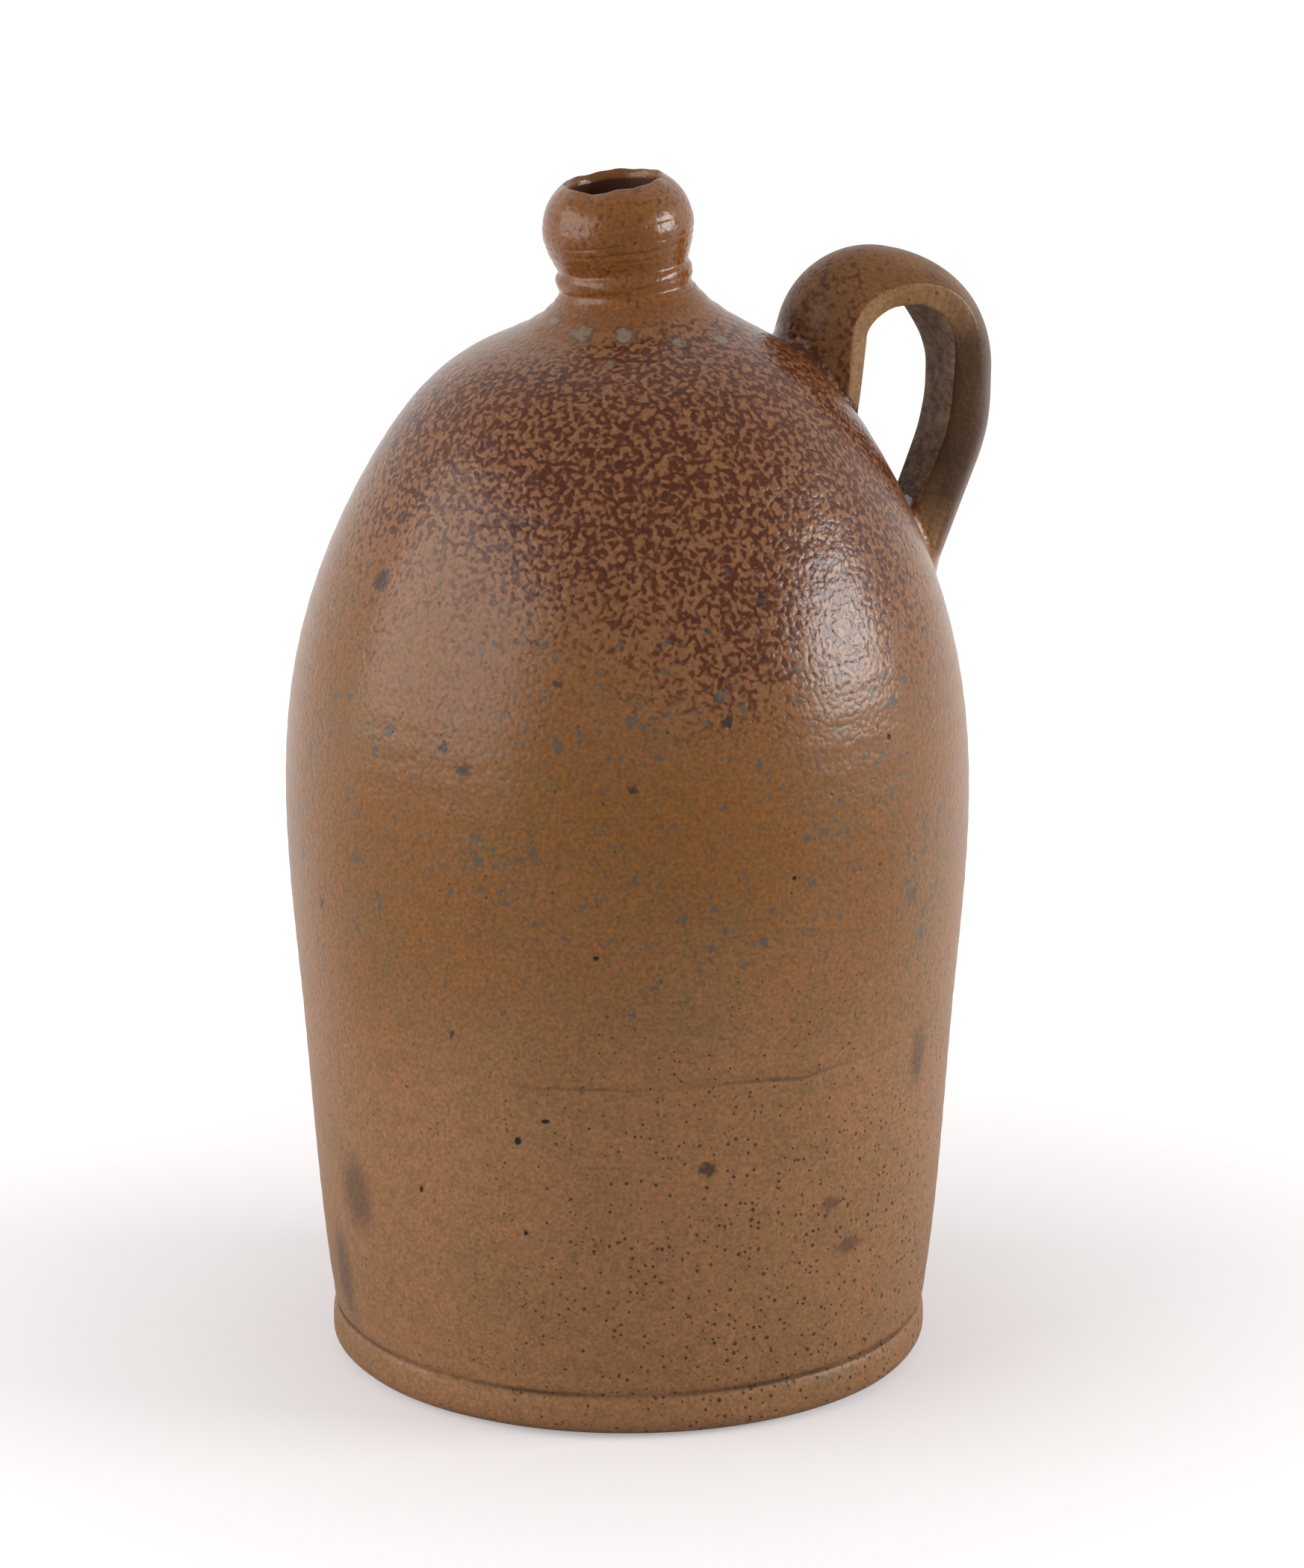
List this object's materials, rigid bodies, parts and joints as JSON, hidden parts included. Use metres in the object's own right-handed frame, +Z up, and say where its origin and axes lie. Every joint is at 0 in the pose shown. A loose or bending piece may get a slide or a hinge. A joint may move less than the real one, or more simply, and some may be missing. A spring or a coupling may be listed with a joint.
{
  "type": "stoneware crock jug",
  "caption": "Tall domed salt-glazed stoneware jug with a narrow beaded mouth, a leaning neck and a strap handle on the shoulder, for storing and pouring liquid.",
  "frame": {"origin": "centre of the flat underside of the base slab", "axes": "+Z up through the body, +X towards the strap handle"},
  "size_m": [0.22, 0.2074, 0.3664],
  "materials": {
    "salt_glaze": "mottled brown salt glaze with an orange-peel surface",
    "bare_stoneware": "tan stoneware with a thin glaze on its edge and a bare underside",
    "inner_glaze": "dark brown liner glaze"
  },
  "bodies": {
    "root": {"base_slab": "bare_stoneware", "corner_coil": "inner_glaze", "lower_wall": "salt_glaze", "belly_wall": "salt_glaze", "shoulder_dome": "salt_glaze", "neck_collar": "salt_glaze", "mouth_bead": "salt_glaze", "handle_strap": "salt_glaze", "upper_handle_pad": "salt_glaze", "lower_handle_pad": "salt_glaze"}
  },
  "joints": []
}
